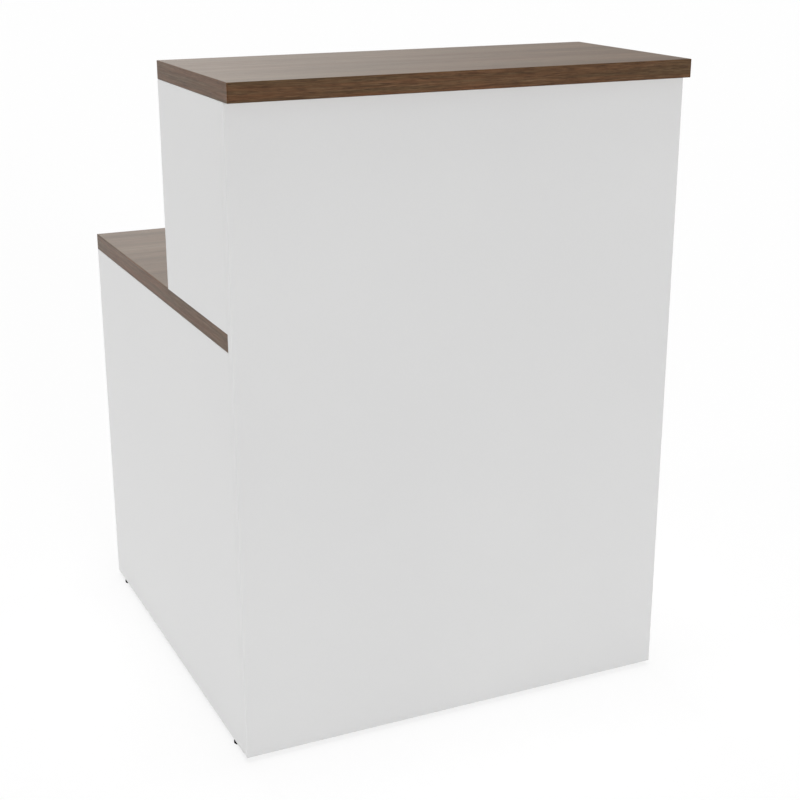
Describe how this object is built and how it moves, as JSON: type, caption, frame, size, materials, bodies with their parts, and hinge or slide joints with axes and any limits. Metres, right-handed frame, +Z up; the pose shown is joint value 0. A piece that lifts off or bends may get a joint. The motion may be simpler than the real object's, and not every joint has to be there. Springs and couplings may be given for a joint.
{
  "type": "reception desk",
  "caption": "Narrow two-level reception desk: white front panel and sides, walnut-look worktop at sitting height and a raised walnut-look counter over the visitor's side, on levelling feet.",
  "frame": {"origin": "on the floor, under the middle of the desk's box", "axes": "+Z up, +X to the visitor's right, +Y from the visitor's side to the staff's side"},
  "size_m": [0.8, 0.838, 1.122],
  "materials": {
    "white_board": "white melamine-faced chipboard with white edges, satin",
    "walnut_board": "walnut-look melamine-faced chipboard, fine grain along the width, satin",
    "walnut_band": "walnut-look plastic edge band, grain along its length, satin",
    "zinc": "die-cast zinc, dull",
    "steel": "bright zinc-plated steel",
    "black_plastic": "black moulded plastic, matt",
    "beech": "fluted beech, plain"
  },
  "bodies": {
    "desk": {"front_panel": "white_board", "left_gable": "white_board", "right_gable": "white_board", "left_riser": "white_board", "right_riser": "white_board", "worktop": "walnut_board", "counter_top": "walnut_board", "worktop_left_band": "walnut_band", "worktop_right_band": "walnut_band", "worktop_back_band": "walnut_band", "counter_front_band": "walnut_band", "counter_back_band": "walnut_band", "counter_left_band": "walnut_band", "counter_right_band": "walnut_band", "left_gable_worktop_front_cam": "zinc", "left_gable_worktop_back_cam": "zinc", "left_gable_front_lower_cam": "zinc", "left_gable_front_upper_cam": "zinc", "left_riser_front_cam": "zinc", "left_riser_counter_front_cam": "zinc", "left_riser_counter_back_cam": "zinc", "right_gable_worktop_front_cam": "zinc", "right_gable_worktop_back_cam": "zinc", "right_gable_front_lower_cam": "zinc", "right_gable_front_upper_cam": "zinc", "right_riser_front_cam": "zinc", "right_riser_counter_front_cam": "zinc", "right_riser_counter_back_cam": "zinc", "left_front_foot_sleeve": "zinc", "left_back_foot_sleeve": "zinc", "right_front_foot_sleeve": "zinc", "right_back_foot_sleeve": "zinc", "left_gable_worktop_front_bolt": "steel", "left_gable_worktop_back_bolt": "steel", "left_gable_front_lower_bolt": "steel", "left_gable_front_upper_bolt": "steel", "left_riser_front_bolt": "steel", "left_riser_counter_front_bolt": "steel", "left_riser_counter_back_bolt": "steel", "right_gable_worktop_front_bolt": "steel", "right_gable_worktop_back_bolt": "steel", "right_gable_front_lower_bolt": "steel", "right_gable_front_upper_bolt": "steel", "right_riser_front_bolt": "steel", "right_riser_counter_front_bolt": "steel", "right_riser_counter_back_bolt": "steel", "left_riser_dowel_front": "beech", "left_riser_dowel_back": "beech", "left_worktop_dowel": "beech", "right_riser_dowel_front": "beech", "right_riser_dowel_back": "beech", "right_worktop_dowel": "beech"},
    "left_front_pad": {"left_front_foot_pad": "black_plastic"},
    "left_front_stud": {"left_front_foot_stud": "steel"},
    "left_back_pad": {"left_back_foot_pad": "black_plastic"},
    "left_back_stud": {"left_back_foot_stud": "steel"},
    "right_front_pad": {"right_front_foot_pad": "black_plastic"},
    "right_front_stud": {"right_front_foot_stud": "steel"},
    "right_back_pad": {"right_back_foot_pad": "black_plastic"},
    "right_back_stud": {"right_back_foot_stud": "steel"}
  },
  "joints": [
    {"name": "left_front_foot_height", "type": "slide", "parent": "desk", "child": "left_front_pad", "axis": [0, 0, -1], "range_m": [-0.0007, 0.01]},
    {"name": "left_front_foot_turn", "type": "hinge", "parent": "left_front_pad", "child": "left_front_stud", "pos_m": [-0.391, -0.331, 0], "axis": [0, 0, -1], "range_deg": [-252, 3600]},
    {"name": "left_back_foot_height", "type": "slide", "parent": "desk", "child": "left_back_pad", "axis": [0, 0, -1], "range_m": [-0.0007, 0.01]},
    {"name": "left_back_foot_turn", "type": "hinge", "parent": "left_back_pad", "child": "left_back_stud", "pos_m": [-0.391, 0.369, 0], "axis": [0, 0, -1], "range_deg": [-252, 3600]},
    {"name": "right_front_foot_height", "type": "slide", "parent": "desk", "child": "right_front_pad", "axis": [0, 0, -1], "range_m": [-0.0007, 0.01]},
    {"name": "right_front_foot_turn", "type": "hinge", "parent": "right_front_pad", "child": "right_front_stud", "pos_m": [0.391, -0.331, 0], "axis": [0, 0, -1], "range_deg": [-252, 3600]},
    {"name": "right_back_foot_height", "type": "slide", "parent": "desk", "child": "right_back_pad", "axis": [0, 0, -1], "range_m": [-0.0007, 0.01]},
    {"name": "right_back_foot_turn", "type": "hinge", "parent": "right_back_pad", "child": "right_back_stud", "pos_m": [0.391, 0.369, 0], "axis": [0, 0, -1], "range_deg": [-252, 3600]}
  ],
  "couplings": [
    {"joint": "left_front_foot_turn", "follows": "left_front_foot_height", "rad_per_m": 6283.2},
    {"joint": "left_back_foot_turn", "follows": "left_back_foot_height", "rad_per_m": 6283.2},
    {"joint": "right_front_foot_turn", "follows": "right_front_foot_height", "rad_per_m": 6283.2},
    {"joint": "right_back_foot_turn", "follows": "right_back_foot_height", "rad_per_m": 6283.2}
  ]
}
